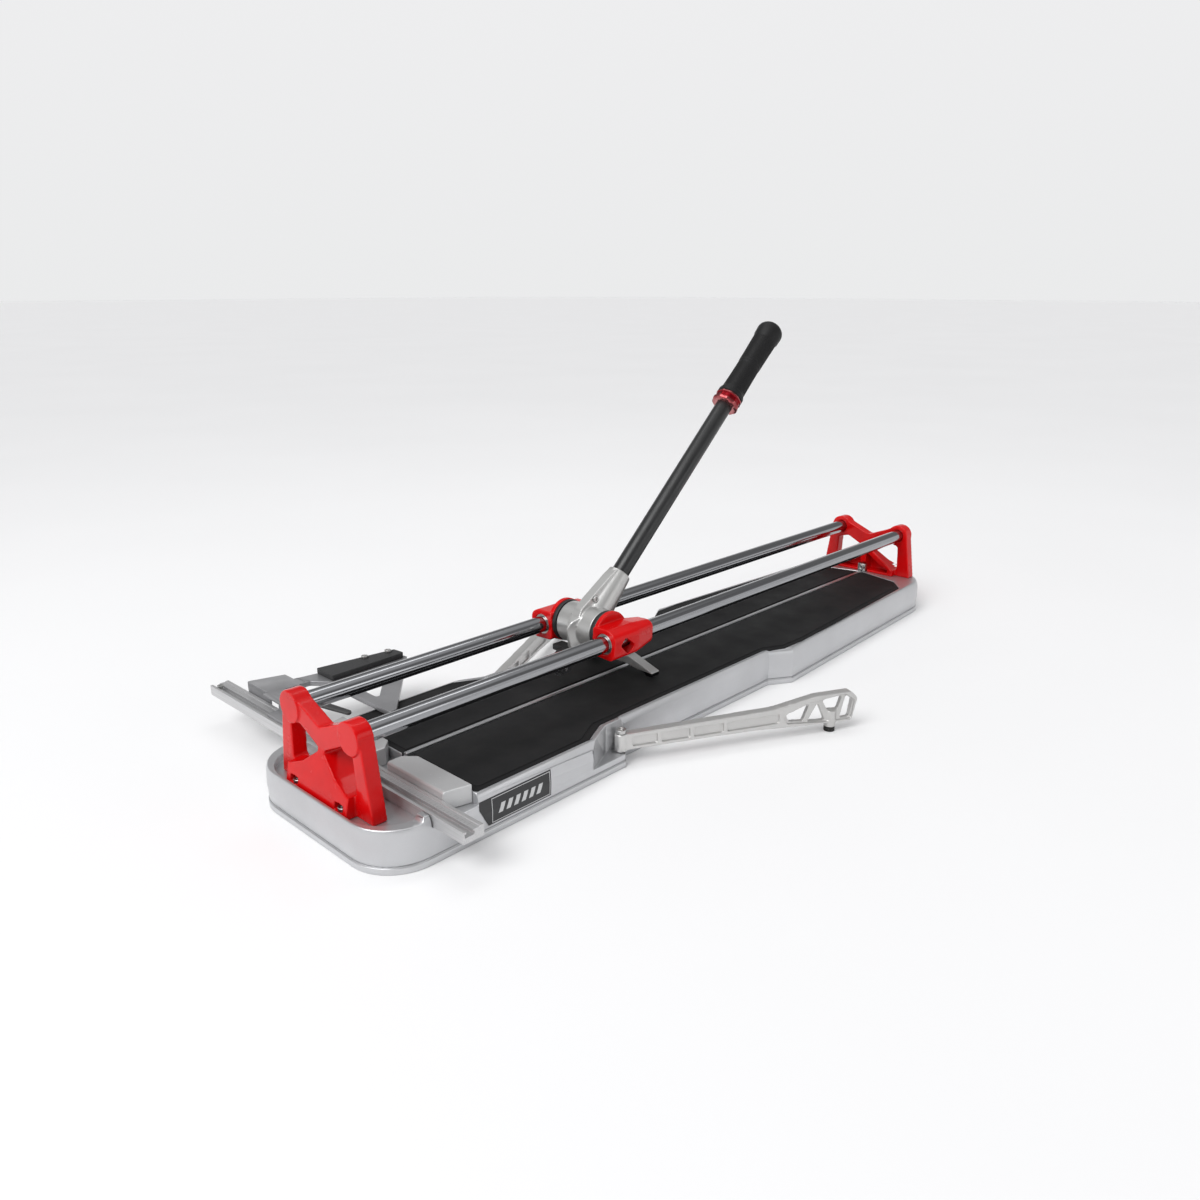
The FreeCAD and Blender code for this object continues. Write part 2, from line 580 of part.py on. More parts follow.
def build_hub():
    """Cast hub: barrel, tapered handle socket with a web, a chin over the wheel holder, a fork for the foot."""
    half = size("hub_half_width")
    barrel = cylinder("HubBarrel", "Sizes.hub_radius", "2 * Sizes.hub_half_width",
                      Placement(pivot + Vector(0, -half, 0), ALONG_Y))
    socket = doc.addObject("Part::Cone", "HubSocket")
    socket.Radius1 = 20
    socket.setExpression("Radius2", "Sizes.socket_radius")
    socket.setExpression("Height", "Sizes.socket_end - 12")
    socket.Placement = Placement(pivot + handle_direction * 12, along_handle)
    web = side_plate("HubWeb", size("web_half_width"), [
        hub_point(-14, 22), hub_point(6, 29, 6), hub_point(66, 17), hub_point(size("socket_end") - 1, 13.5),
        hub_point(size("socket_end") - 6, 0), hub_point(4, 4)])
    chin_side = side_plate("HubChinSide", 22, [
        (pivot.x - 8, pivot.z + 22.5), (pivot.x - 29, pivot.z + 12, 8), (pivot.x - 34.5, pivot.z + 3, 3),
        (pivot.x - 30, pivot.z - 20.6, 2), (pivot.x - 12, pivot.z - 22), (pivot.x + 10, pivot.z)])
    chin_plan = doc.addObject("Part::Prism", "HubChinPlan")
    chin_plan.Polygon = 3
    chin_plan.Circumradius = 44
    chin_plan.Height = 60
    chin_plan.Placement = Placement(Vector(pivot.x + 9.5, 0, pivot.z - 30), Rotation(Vector(0, 0, 1), 180))
    chin = doc.addObject("Part::MultiCommon", "HubChin")
    chin.Shapes = [chin_side, chin_plan]
    fork = side_plate("HubFork", 8, [
        (pivot.x + 2, pivot.z - 22, 4), (foot_pin.x - 9, foot_pin.z + 2, 7), (foot_pin.x, foot_pin.z - 8, 7),
        (foot_pin.x + 9, foot_pin.z + 1, 7), (foot_pin.x + 5, foot_pin.z + 12, 8), (pivot.x + 26, pivot.z + 2, 6),
        (pivot.x + 4, pivot.z + 10)])
    solid = fuse("HubSolid", barrel, socket, web, chin, fork)
    tools = [
        cylinder("HubBore", "Sizes.shaft_radius + 0.08", "4 * Sizes.hub_half_width",
                 Placement(pivot + Vector(0, -2 * half, 0), ALONG_Y)),
        cylinder("HubTubeBore", "Sizes.tube_radius + 0.03", "Sizes.socket_end",
                 Placement(pivot + handle_direction * size("tube_start"), along_handle)),
        cylinder("HubPinBore", "Sizes.foot_pin_radius + 0.05", "2 * Sizes.hub_half_width",
                 Placement(foot_pin - Vector(0, half, 0), ALONG_Y)),
        cylinder("HubScrewBore", "Sizes.lug_screw_radius + 0.1", "Sizes.web_half_width * 2 + 4",
                 Placement(lug_point - Vector(0, size("web_half_width") + 1, 0), ALONG_Y)),
        cylinder("HubScrewSeat", "Sizes.lug_screw_radius + 1.9", "20",
                 Placement(lug_point - Vector(0, size("web_half_width"), 0), AGAINST_Y)),
    ]
    return keep(subtract("Hub", solid, *tools), "hub")


def build_handle():
    """Tube, collar, grip with a flange and a domed end, and the screw that holds the tube."""
    start = pivot + handle_direction * size("tube_start")
    outer = cylinder("TubeOuter", "Sizes.tube_radius", "Sizes.tube_end - Sizes.tube_start",
                     Placement(start, along_handle))
    inner = cylinder("TubeInner", "Sizes.tube_radius - Sizes.tube_wall", "Sizes.tube_end",
                     Placement(start - handle_direction * 5, along_handle))
    keep(subtract("handle_tube", outer, inner), "handle_tube")

    ring = pivot + handle_direction * size("collar_start")
    collar = cylinder("CollarOuter", "Sizes.collar_radius", "Sizes.collar_length", Placement(ring, along_handle))
    hole = cylinder("CollarHole", "Sizes.tube_radius + 0.04", "Sizes.collar_length + 4",
                    Placement(ring - handle_direction * 2, along_handle))
    keep(subtract("handle_collar", collar, hole), "handle_collar")

    grip = new_body("grip")
    low = size("collar_start") + size("collar_length") + 0.2
    top = size("grip_end")
    radius = size("grip_radius")
    bore = size("tube_radius") + 0.04
    profile = outline([(bore, low), (radius + 1.6, low, 1.5), (radius + 1.6, low + 6, 1.5),
                       (radius - 0.6, low + 9, 3), (radius - 1.6, (low + top) / 2, 60),
                       (radius, top - 26, 12), (radius + 1.4, top - 14, 6), (radius - 1, top - 0.5, 13),
                       (0, top), (0, size("tube_end") + 0.3), (bore, size("tube_end") + 0.3)])
    sketch = add_sketch(grip, "XZ", 0, profile)
    turn = grip.newObject("PartDesign::Revolution", "grip_turn")
    turn.Profile = sketch
    turn.ReferenceAxis = (sketch, ["V_Axis"])
    turn.Angle = 360
    doc.recompute()
    grip.Placement = Placement(pivot, along_handle)
    keep(grip, "grip")

    seat = lug_point - Vector(0, size("web_half_width") + 0.1, 0)
    screw = socket_screw(Placement(seat, AGAINST_Y), size("lug_screw_radius"), 9, 3.9, 3)
    group("socket_screw", [screw])


def build_wheel():
    """Black wheel holder clamped under the hub, the scoring wheel and its axle."""
    centre = wheel_centre
    holder_top = pivot.z - 22.2
    jaw = side_plate("HolderJaw", 11, [
        (centre.x - 7, centre.z - 6, 5), (centre.x + 7, centre.z - 6, 5), (centre.x + 12, centre.z + 10, 3),
        (centre.x + 24, centre.z + 11), (centre.x + 24, holder_top), (centre.x + 6, holder_top, 4),
        (centre.x - 7, centre.z + 8, 3)])
    bridge = box("HolderBridge", (pivot.x - 31, -28.3, holder_top - 7.2), (16, 56.6, 7.2))
    slot = side_plate("HolderSlot", 2.2, [
        (centre.x - 20, centre.z - 12), (centre.x + 30, centre.z - 12), (centre.x + 14, centre.z + 12, 3),
        (centre.x - 20, centre.z + 12)])
    bore = cylinder("HolderBore", "Sizes.axle_radius + 0.02", "2 * Sizes.hub_half_width",
                    Placement(centre - Vector(0, size("hub_half_width"), 0), ALONG_Y))
    jaw = fuse("HolderSolid", jaw, bridge)
    keep(subtract("wheel_holder", jaw, slot, bore), "wheel_holder")

    wheel = new_body("scoring_wheel")
    radius, half = size("wheel_radius"), size("wheel_thickness") / 2
    profile = outline([(size("axle_radius") + 0.06, -half), (radius - 2.2, -half), (radius, 0),
                       (radius - 2.2, half), (size("axle_radius") + 0.06, half)])
    sketch = add_sketch(wheel, "XZ", 0, profile)
    turn = wheel.newObject("PartDesign::Revolution", "wheel_turn")
    turn.Profile = sketch
    turn.ReferenceAxis = (sketch, ["V_Axis"])
    turn.Angle = 360
    doc.recompute()
    wheel.Placement = Placement(centre, ALONG_Y)
    keep(wheel, "scoring_wheel")
    keep(cylinder("wheel_axle", "Sizes.axle_radius", "21.6", Placement(centre - Vector(0, 10.8, 0), ALONG_Y)),
         "wheel_axle")


def build_foot():
    """Gull-wing breaker foot, which presses on both sides of the scored line, and its pin."""
    body = new_body("breaker_foot")
    span, low = size("foot_half_span"), size("foot_bottom")
    right = [(17, foot_pin.z - 8, 8), (span, low + 6, 2), (span, low, 1), (span - 9, low, 1),
             (span - 14, low + 3.5, 3), (12, foot_pin.z - 19, 8)]
    wings = outline([(y, z, r) for y, z, r in right] + [(-y, z, r) for y, z, r in right[::-1]])
    feature(body, "Pad", add_sketch(body, "YZ", "Sizes.foot_near", wings), "Sizes.foot_depth")
    cheek = outline([(foot_pin.x - 7, foot_pin.z - 18), (foot_pin.x + 7, foot_pin.z - 18),
                     (foot_pin.x + 7, foot_pin.z + 7, 6), (foot_pin.x - 7, foot_pin.z + 7, 6)])
    feature(body, "Pad", add_sketch(body, "XZ", -14, cheek), 28)
    gap = outline([(-8.4, foot_pin.z + 20), (-8.4, foot_pin.z - 10, 3), (8.4, foot_pin.z - 10, 3),
                   (8.4, foot_pin.z + 20)])
    cut(body, add_sketch(body, "YZ", foot_pin.x - 20, gap), 40, Reversed=True)
    bore = circle(foot_pin.x, foot_pin.z, size("foot_pin_radius") + 0.05)
    cut(body, add_sketch(body, "XZ", -30, bore), 60, Reversed=True)
    keep(body, "breaker_foot")
    keep(cylinder("foot_pin", "Sizes.foot_pin_radius", "27", Placement(foot_pin - Vector(0, 13.5, 0), ALONG_Y)),
         "foot_pin")


# --------------------------------------------------------------------------------------
# Ruler bar, fence and lateral stop
# --------------------------------------------------------------------------------------
bar_near, bar_width = size("bar_near"), size("bar_width")
bar_far = bar_near + bar_width
bar_bottom, bar_top = size("bar_bottom"), size("bar_top")
groove_near, groove_far = bar_near + 3.5, bar_near + 11.5
groove_floor = bar_top - 6
fence_top = size("fence_top")


def build_bar():
    """Extruded ruler bar across the base, with a runner groove and a shallow scale ledge."""
    body = new_body("ruler_bar")
    section = [
        (bar_near, bar_bottom), (bar_far, bar_bottom), (bar_far, bar_top - 1), (bar_far - 1, bar_top),
        (bar_far - 5, bar_top), (bar_far - 5, bar_top - 0.8), (groove_far, bar_top - 0.8),
        (groove_far, bar_top - 2.4),
        (groove_far + 1.6, bar_top - 2.4), (groove_far + 1.6, groove_floor), (groove_near - 1.6, groove_floor),
        (groove_near - 1.6, bar_top - 2.4), (groove_near, bar_top - 2.4), (groove_near, bar_top), (bar_near, bar_top),
    ]
    sketch = add_sketch(body, "XZ", "-Sizes.bar_left", outline(section))
    feature(body, "Pad", sketch, "Sizes.bar_left - Sizes.bar_right", Reversed=False)
    return keep(body, "ruler_bar")


def build_fence():
    """Two fence blocks with a chamfered notch at the breaking strip, and their screws."""
    for label, side in (("fence_right", -1), ("fence_left", 1)):
        body = new_body(label)
        near, far = bar_far + 0.2, channel_far - 0.4
        plan = outline([(near, side * 14), (far - 12, side * 14), (far, side * 26), (far, side * 112),
                        (near, side * 105)])
        feature(body, "Pad", add_sketch(body, "XY", end_floor + 0.2, plan), fence_top - end_floor - 0.2)
        bevel = outline([(near - 1, fence_top - 3), (near + 3, fence_top + 1), (near - 1, fence_top + 1)])
        cut(body, add_sketch(body, "XZ", base_half + 5, bevel), 2 * base_half + 10)
        holes = [circle(fence_screw_x, side * y, size("fence_screw_radius") + 0.1) for y in FENCE_SCREW_Y]
        cut(body, add_sketch(body, "XY", end_floor, *holes), 13, Reversed=True)
        keep(body, label)
    screws = [socket_screw(Placement(Vector(fence_screw_x, side * y, size("end_cell_depth") - 0.2), DOWN),
                           size("fence_screw_radius"), 17, 6, 4.2)
              for side in (-1, 1) for y in FENCE_SCREW_Y]
    group("fence_screws", screws)


def build_stop():
    """Lateral stop: a bent saddle and its runner on the bar, a set square, a rubber strip and a lever."""
    body = new_body("stop_saddle")
    top = size("saddle_top")
    front = outline([(bar_far + 0.4, 45), (bar_far + 3, 45), (bar_far + 3, top - 3), (-433, top - 3), (-433, top),
                     (bar_far + 0.4, top, 1)])
    feature(body, "Pad", add_sketch(body, "XZ", -272, front), 52)
    bridge = outline([(-481, 152, 2), (-455, 152, 4), (-455, 225), (-481, 225)])
    feature(body, "Pad", add_sketch(body, "XY", 59, bridge), 3)
    riser = outline([(-481, 152), (-478, 152), (-478, 190), (-481, 190)])
    feature(body, "Pad", add_sketch(body, "XY", bar_top + 0.4, riser), 59.5 - bar_top)
    shoe = outline([(groove_near + 0.4, 152), (-478, 152), (-478, 190), (groove_near + 0.4, 190)])
    feature(body, "Pad", add_sketch(body, "XY", bar_top + 0.4, shoe), 2.4)
    runner = outline([(groove_near + 0.3, 154), (groove_far - 0.3, 154), (groove_far - 0.3, 188),
                      (groove_near + 0.3, 188)])
    feature(body, "Pad", add_sketch(body, "XY", groove_floor + 0.6, runner), bar_top + 0.6 - groove_floor)
    corner = outline([(-475, 273), (-433, 260), (-433, 273)])
    cut(body, add_sketch(body, "XY", top + 1, corner), 30)
    pivot_hole = circle(-464, 170, 3.05)
    cut(body, add_sketch(body, "XY", top + 1, pivot_hole), 8)
    keep(body, "stop_saddle")

    square = new_body("stop_square")
    plate = outline([(-432.6, 226), (-432.6, 248, 3), (-402, 243), (-294, 229, 6), (-290, 210, 4), (-395, 84, 4),
                     (-405, 82, 3), (-405, 208, 3), (-420, 226, 4)])
    opening = outline([(-391, 124, 3), (-391, 200, 3), (-328, 200, 3)])
    sketch = add_sketch(square, "XY", "Sizes.square_bottom", plate, opening)
    feature(square, "Pad", sketch, "Sizes.square_thickness")
    lap = outline([(-446, 228), (-446, 246), (-425, 246), (-425, 228)])
    feature(square, "Pad", add_sketch(square, "XY", 56, lap), 2.7)
    keep(square, "stop_square")

    strip = new_body("stop_strip")
    plan = outline([(-401, 205.5, 2), (-401, 242, 2), (-297, 228, 3), (-295, 209, 3)])
    level = "Sizes.square_bottom + Sizes.square_thickness + 0.3"
    feature(strip, "Pad", add_sketch(strip, "XY", level, plan), "Sizes.stop_strip_height")
    strip_top = size("square_bottom") + size("square_thickness") + 0.3 + size("stop_strip_height")
    places = [(-341, 228), (-309, 224)]
    holes = [circle(x, y, 2.5) for x, y in places]
    cut(strip, add_sketch(strip, "XY", strip_top + 1, *holes), size("stop_strip_height") + 2)
    keep(strip, "stop_strip")
    pegs = [socket_screw(Placement(Vector(x, y, strip_top + 0.1), Rotation()), 2.4, 6.5, 4.2, 3.2)
            for x, y in places]
    group("stop_pegs", pegs)


def build_lever():
    """Arched locking lever of the lateral stop and its pivot screw, and the screw at the end of the bar."""
    body = new_body("locking_lever")
    low = size("lever_bottom")
    arch = outline([(181, low), (181, low + 4), (158, low + 4, 14), (140, low + 7, 16), (101, low + 0.8, 2),
                    (100, low - 2), (141, low + 4, 16), (158, low, 14)])
    feature(body, "Pad", add_sketch(body, "YZ", -476, arch), 44)
    blade = outline([(-472, 171, 7), (-464, 179, 7), (-455, 170, 7), (-450, 135, 30), (-438, 106, 3), (-444, 102, 3),
                     (-459, 132, 30)])
    frame = outline([(-480, 95), (-425, 95), (-425, 190), (-480, 190)])
    cut(body, add_sketch(body, "XY", 80, frame, blade), 40)
    cut(body, add_sketch(body, "XY", 80, circle(-464, 170, 3.1)), 40)
    keep(body, "locking_lever")
    screw = socket_screw(Placement(Vector(-464, 170, low + 4.2), Rotation()), 3, 8, 5.5, 3)
    group("lever_screw", [screw])
    stop = socket_screw(Placement(Vector(groove_near + 4, 309, bar_top - 1), Rotation()), 2.6, 3, 3.7, 2.2)
    group("bar_end_screw", [stop])


# --------------------------------------------------------------------------------------
# Folding side arms
# --------------------------------------------------------------------------------------
def build_arm(label, side):
    """Side arm along its own X from the pivot: ribbed beam, raised truss end, bored foot boss."""
    body = new_body(label)
    thickness, low, top, length = (size(name) for name in ("arm_thickness", "arm_bottom", "arm_top", "arm_length"))
    root_top = 37
    profile = outline([(0, low), (160, low - 1, 40), (235, low - 5, 40), (length - 6, low - 7, 6),
                       (length, top - 9, 5), (length - 9, top, 7), (245, top, 30), (190, root_top + 3, 50),
                       (0, root_top)])
    holes = [
        outline([(205, 32, 3), (237, 39.5, 2), (229, 19, 2), (210, 21, 3)]),
        outline([(248, 40, 2), (259, 16, 1.5), (235, 17, 1.5)]),
        outline([(254, 42, 2), (281, 45, 2), (276, 28, 3), (262, 28, 3)]),
        outline([(286, 44.5, 2), (296, 37.5, 2), (292.5, 15.5, 3), (279, 15.5, 3)]),
    ]
    half = thickness / 2
    feature(body, "Pad", add_sketch(body, "XZ", -half, profile, *holes), thickness)
    root = circle(0, 0, size("arm_root_radius"))
    feature(body, "Pad", add_sketch(body, "XY", low - 1.6, root), root_top + 2 - low)

    # Flat ribs are left standing between shallow pockets on both faces of the beam
    panels = [(12, 42), (47, 82), (87, 124), (129, 196)]
    for face in (-1, 1):
        loops = [outline([(near, low + 3.4, 1.5), (far, low + 3.4, 1.5), (far, root_top - 3.6, 1.5),
                          (near, root_top - 3.6, 1.5)]) for near, far in panels]
        loops.append(outline([(201, 29.5, 4), (236, 42, 6), (283, 47, 3), (297.5, 38, 3), (294, 13.8, 3),
                              (258, 14.3, 20), (207, 19, 4)]))
        cut(body, add_sketch(body, "XZ", face * (half - 3), *loops), 10, Reversed=(face > 0))
    foot_boss = circle(size("arm_foot_at"), 0, size("arm_boss_radius"))
    feature(body, "Pad", add_sketch(body, "XY", 6, foot_boss), 21)
    cut(body, add_sketch(body, "XY", 60, circle(0, 0, size("arm_bolt_radius") + 0.3)), 60)
    cut(body, add_sketch(body, "XY", 3, circle(size("arm_foot_at"), 0, 3.2)), 14, Reversed=True)
    body.Placement = arm_place(side)
    return keep(body, label)


def arm_place(side):
    """Placement of an arm in its open position."""
    turn = Rotation(Vector(0, 0, 1), side * size("arm_angle"))
    return Placement(Vector(size("arm_pivot_x"), side * size("arm_pivot_y"), 0), turn)


def build_arm_small():
    """Pivot bolts in the ledges of the base and the rubber feet of the arms."""
    bolts = []
    for side in (-1, 1):
        point = Vector(size("arm_pivot_x"), side * size("arm_pivot_y"), 37.8)
        bolts.append(socket_screw(Placement(point, Rotation()), size("arm_bolt_radius"), 34, 6, 4.5))
    group("arm_bolts", bolts)
    for label, side in (("arm_foot_right", -1), ("arm_foot_left", 1)):
        sole = Part.makeCylinder(6.6, 5.8)
        stem = Part.makeCylinder(3.1, 10, Vector(0, 0, 5.8))
        foot = doc.addObject("Part::Feature", label)
        foot.Shape = sole.fuse(stem)
        foot.Placement = arm_place(side).multiply(Placement(Vector(size("arm_foot_at"), 0, 0), Rotation()))
        keep(foot, label)


def build_label():
    """Thin blank label plate that follows the two facets of the right flank."""
    body = new_body("label_plate")
    near, far = -446, -352
    thickness = size("label_thickness")
    facet = base_half + 0.05
    section = outline([(-facet + 0.7, 12), (-facet, 27), (-facet + 0.9, 41), (-facet + 0.9 - thickness, 41),
                       (-facet - thickness, 27), (-facet + 0.7 - thickness, 12)])
    feature(body, "Pad", add_sketch(body, "YZ", near, section), far - near)
    corner = outline([(near - 1, 11), (near + 11, 11), (near - 1, 34)])
    cut(body, add_sketch(body, "XZ", base_half + 2, corner), 5)
    keep(body, "label_plate")


build_base()
build_pads()
build_strip()
build_support("near_support", -1)
build_support("far_support", 1)
build_rails()
build_support_screws()
for name, across in (("slider_right", -1), ("slider_left", 1)):
    build_slider(name, across)
build_bushings()
build_carriage_small()
build_hub()
build_handle()
build_wheel()
build_foot()
build_bar()
build_fence()
build_stop()
build_lever()
for name, across in (("side_arm_right", -1), ("side_arm_left", 1)):
    build_arm(name, across)
build_arm_small()
build_label()

# --------------------------------------------------------------------------------------
# Check and write
# --------------------------------------------------------------------------------------
doc.recompute()
for item in doc.Objects:
    if any(flag in item.State for flag in ("Invalid", "Error")):
        raise RuntimeError("%s is %s" % (item.Name, item.State))
for item in NODES:
    shape = item.Shape
    if shape.isNull() or not shape.isValid() or not shape.Solids:
        raise RuntimeError("%s has no valid solid" % item.Label)
    shape.exportStep(os.path.join("parts", item.Label + ".step"))
    print("%-22s %3d solids %10.0f mm3" % (item.Label, len(shape.Solids), shape.Volume))
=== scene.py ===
"""Looks of the twin-rail tile cutter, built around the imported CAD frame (metres, +X along the rails, +Z up)."""

import json
import math

import bmesh
import bpy
from mathutils import Matrix, Vector


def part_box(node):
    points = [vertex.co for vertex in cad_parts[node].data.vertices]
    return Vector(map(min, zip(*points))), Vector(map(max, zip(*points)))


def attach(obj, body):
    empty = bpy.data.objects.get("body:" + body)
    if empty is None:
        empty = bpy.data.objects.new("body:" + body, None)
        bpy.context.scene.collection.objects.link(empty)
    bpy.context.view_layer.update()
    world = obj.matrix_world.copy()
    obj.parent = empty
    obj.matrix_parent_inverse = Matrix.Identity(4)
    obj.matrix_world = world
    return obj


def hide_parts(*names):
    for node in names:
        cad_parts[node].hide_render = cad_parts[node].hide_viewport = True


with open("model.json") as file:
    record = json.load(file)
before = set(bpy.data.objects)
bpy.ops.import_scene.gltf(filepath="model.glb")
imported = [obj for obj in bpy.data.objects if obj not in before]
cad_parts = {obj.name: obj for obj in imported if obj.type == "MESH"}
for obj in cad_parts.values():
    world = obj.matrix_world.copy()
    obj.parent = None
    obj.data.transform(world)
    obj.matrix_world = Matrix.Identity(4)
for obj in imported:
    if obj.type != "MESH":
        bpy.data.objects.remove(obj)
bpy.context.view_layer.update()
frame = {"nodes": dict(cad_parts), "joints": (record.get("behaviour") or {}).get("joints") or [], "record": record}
scene = bpy.context.scene
MM = 0.001

# Nodes with flat faces that run round an opening. Such a face isn't joined into one outline.
RING_FACED = ("base_casting", "stop_square")
JOIN_ANGLE = math.radians(0.4)      # facets closer than this are one flat face
EASE_ANGLE = math.radians(28)       # edges sharper than this are eased
WELD = 0.001 * MM
FLAT_AREA = 4 * MM * MM             # smallest face worth shading flat
SOFT_TURN, HARD_TURN = 0.002, 0.15  # radians: in plane with its neighbour, or clearly turned from it
CAST_SMOOTHING, CAST_KEEP = 0.5, 0.35


# --------------------------------------------------------------------------------------
# Material helper: a Principled shader with procedural colour, roughness and bump
# --------------------------------------------------------------------------------------
class Finish:
    """One node material. Textures read object coordinates, which are metres in the frame."""

    def __init__(self, name, color, metallic, roughness):
        self.material = bpy.data.materials.new(name)
        self.material.use_nodes = True
        self.tree = self.material.node_tree
        self.shader = self.tree.nodes["Principled BSDF"]
        self.set("Base Color", (*color, 1))
        self.set("Metallic", metallic)
        self.set("Roughness", roughness)
        self.color = color
        self.roughness = roughness
        self.color_out = None
        self.normal_out = None
        self.place = self.node("ShaderNodeTexCoord").outputs["Object"]

    def set(self, socket, value):
        self.shader.inputs[socket].default_value = value
        return self

    def node(self, kind, **settings):
        item = self.tree.nodes.new(kind)
        for key, value in settings.items():
            setattr(item, key, value)
        return item

    def link(self, start, end):
        self.tree.links.new(start, end)

    def stretched(self, scale):
        """Coordinates scaled differently along X, Y and Z."""
        mapping = self.node("ShaderNodeMapping")
        mapping.inputs["Scale"].default_value = scale
        self.link(self.place, mapping.inputs["Vector"])
        return mapping.outputs["Vector"]

    def noise(self, scale, detail=3.0, vector=None):
        item = self.node("ShaderNodeTexNoise")
        item.inputs["Scale"].default_value = scale
        item.inputs["Detail"].default_value = detail
        self.link(vector or self.place, item.inputs["Vector"])
        return item.outputs["Fac"]

    def cells(self, scale):
        item = self.node("ShaderNodeTexVoronoi")
        item.inputs["Scale"].default_value = scale
        self.link(self.place, item.inputs["Vector"])
        return item.outputs["Distance"]

    def ramp(self, source, low, high, dark=0.0, light=1.0):
        """Maps source from low..high to dark..light."""
        item = self.node("ShaderNodeMapRange")
        for socket, value in (("From Min", low), ("From Max", high), ("To Min", dark), ("To Max", light)):
            item.inputs[socket].default_value = value
        self.link(source, item.inputs["Value"])
        return item.outputs["Result"]

    def tint(self, factor, color):
        """Mixes color over what the shader has so far, by factor."""
        mix = self.node("ShaderNodeMix", data_type="RGBA")
        mix.inputs["B"].default_value = (*color, 1)
        if self.color_out is None:
            mix.inputs["A"].default_value = (*self.color, 1)
        else:
            self.link(self.color_out, mix.inputs["A"])
        self.link(factor, mix.inputs["Factor"])
        self.color_out = mix.outputs["Result"]
        self.link(self.color_out, self.shader.inputs["Base Color"])
        return self

    def shade(self, factor, amount):
        """Darkens by up to amount where factor is 1."""
        return self.tint(self.ramp(factor, 0, 1, 0, 1), tuple(c * (1 - amount) for c in self.color))

    def rough(self, source, low, high, spread):
        """Lets roughness vary by spread either side of its value."""
        result = self.ramp(source, low, high, self.roughness - spread, self.roughness + spread)
        self.link(result, self.shader.inputs["Roughness"])
        return self

    def bump(self, height, distance, strength=1.0):
        """Adds relief of the given depth in metres."""
        item = self.node("ShaderNodeBump")
        item.inputs["Distance"].default_value = distance
        item.inputs["Strength"].default_value = strength
        self.link(height, item.inputs["Height"])
        if self.normal_out is not None:
            self.link(self.normal_out, item.inputs["Normal"])
        self.normal_out = item.outputs["Normal"]
        self.link(self.normal_out, self.shader.inputs["Normal"])
        return self

    def worn_edges(self, color, amount):
        """Lightens convex edges a little, where hands and tiles rub."""
        edge = self.ramp(self.node("ShaderNodeNewGeometry").outputs["Pointiness"], 0.52, 0.60, 0, amount)
        return self.tint(edge, color)


def cast_metal(name, color, metallic, roughness, grain, pits_and_glints=0.0, painted_shade_below=0.0):
    """Sand-cast or die-cast aluminium: fine grain, slow blotches and polished edges.

    Below the given height it is painted near black: painted shade under the part.
    """
    finish = Finish(name, color, metallic, roughness)
    slow = finish.noise(14, 4)
    fine = finish.noise(grain, 2)
    finish.shade(finish.ramp(slow, 0.35, 0.7), 0.10)
    finish.shade(finish.ramp(fine, 0.40, 0.75), 0.10)
    finish.rough(slow, 0.3, 0.7, 0.05)
    finish.bump(fine, 0.12 * MM, 0.55)
    finish.bump(finish.noise(90, 2), 0.4 * MM, 0.12)
    # Light spots at cell centres: the casting's real pits, with a painted highlight for the glint they catch.
    if pits_and_glints:
        finish.tint(finish.ramp(finish.cells(150), 0.10, 0.04, 0, pits_and_glints), (0.86, 0.86, 0.87))
    finish.worn_edges((0.80, 0.80, 0.80), 0.35)
    # Painted shade: near black below the given height, standing in for the shadow under the part.
    if painted_shade_below:
        split = finish.node("ShaderNodeSeparateXYZ")
        finish.link(finish.place, split.inputs["Vector"])
        finish.tint(finish.ramp(split.outputs["Z"], painted_shade_below + 0.2 * MM, painted_shade_below, 0, 1), (0.011, 0.011, 0.012))
    return finish.material


def brushed_metal(name, color, roughness, along, metallic=1.0, streak=900):
    """Drawn or ground metal with fine lines along one axis."""
    finish = Finish(name, color, metallic, roughness)
    scale = [streak, streak, streak]
    scale["XYZ".index(along)] = streak / 60
    lines = finish.noise(1.0, 2, finish.stretched(scale))
    finish.shade(finish.ramp(lines, 0.35, 0.7), 0.12)
    finish.rough(lines, 0.3, 0.7, 0.05)
    finish.bump(lines, 0.03 * MM, 0.5)
    return finish.material


def rubber(name, color, roughness, grain):
    """Matt moulded rubber with a stippled skin and a little dust in the low spots."""
    finish = Finish(name, color, 0.0, roughness)
    finish.set("Specular IOR Level", 0.22)
    stipple = finish.noise(grain, 2)
    finish.tint(finish.ramp(stipple, 0.55, 0.75, 0, 0.35), tuple(c * 2.4 for c in color))
    finish.tint(finish.ramp(finish.noise(9, 5), 0.45, 0.8, 0, 0.25), tuple(c * 1.5 for c in color))
    finish.rough(finish.noise(25, 3), 0.3, 0.7, 0.08)
    return finish.bump(stipple, 0.15 * MM, 0.8).material


def gloss_paint(name, color, roughness):
    """Gloss powder coat: orange peel under a clear layer, thin on sharp edges."""
    finish = Finish(name, color, 0.0, roughness)
    finish.set("Coat Weight", 0.22).set("Coat Roughness", 0.05).set("Specular IOR Level", 0.14)
    peel = finish.noise(420, 2)
    finish.shade(finish.ramp(finish.noise(30, 4), 0.4, 0.75), 0.16)
    finish.rough(finish.noise(60, 3), 0.3, 0.7, 0.05)
    finish.bump(peel, 0.10 * MM, 0.35)
    finish.bump(finish.noise(70, 2), 0.4 * MM, 0.10)
    return finish.worn_edges(tuple(min(1.0, c * 1.25 + 0.03) for c in color), 0.5).material


def satin_paint(name, color, roughness, metallic=0.0):
    """Satin enamel on sheet or tube, with faint handling marks."""
    finish = Finish(name, color, metallic, roughness)
    finish.shade(finish.ramp(finish.noise(22, 4), 0.4, 0.75), 0.22)
    finish.rough(finish.noise(45, 4), 0.3, 0.7, 0.08)
    finish.bump(finish.noise(700, 2), 0.06 * MM, 0.5)
    return finish.worn_edges(tuple(min(1.0, c * 1.6 + 0.05) for c in color), 0.35).material


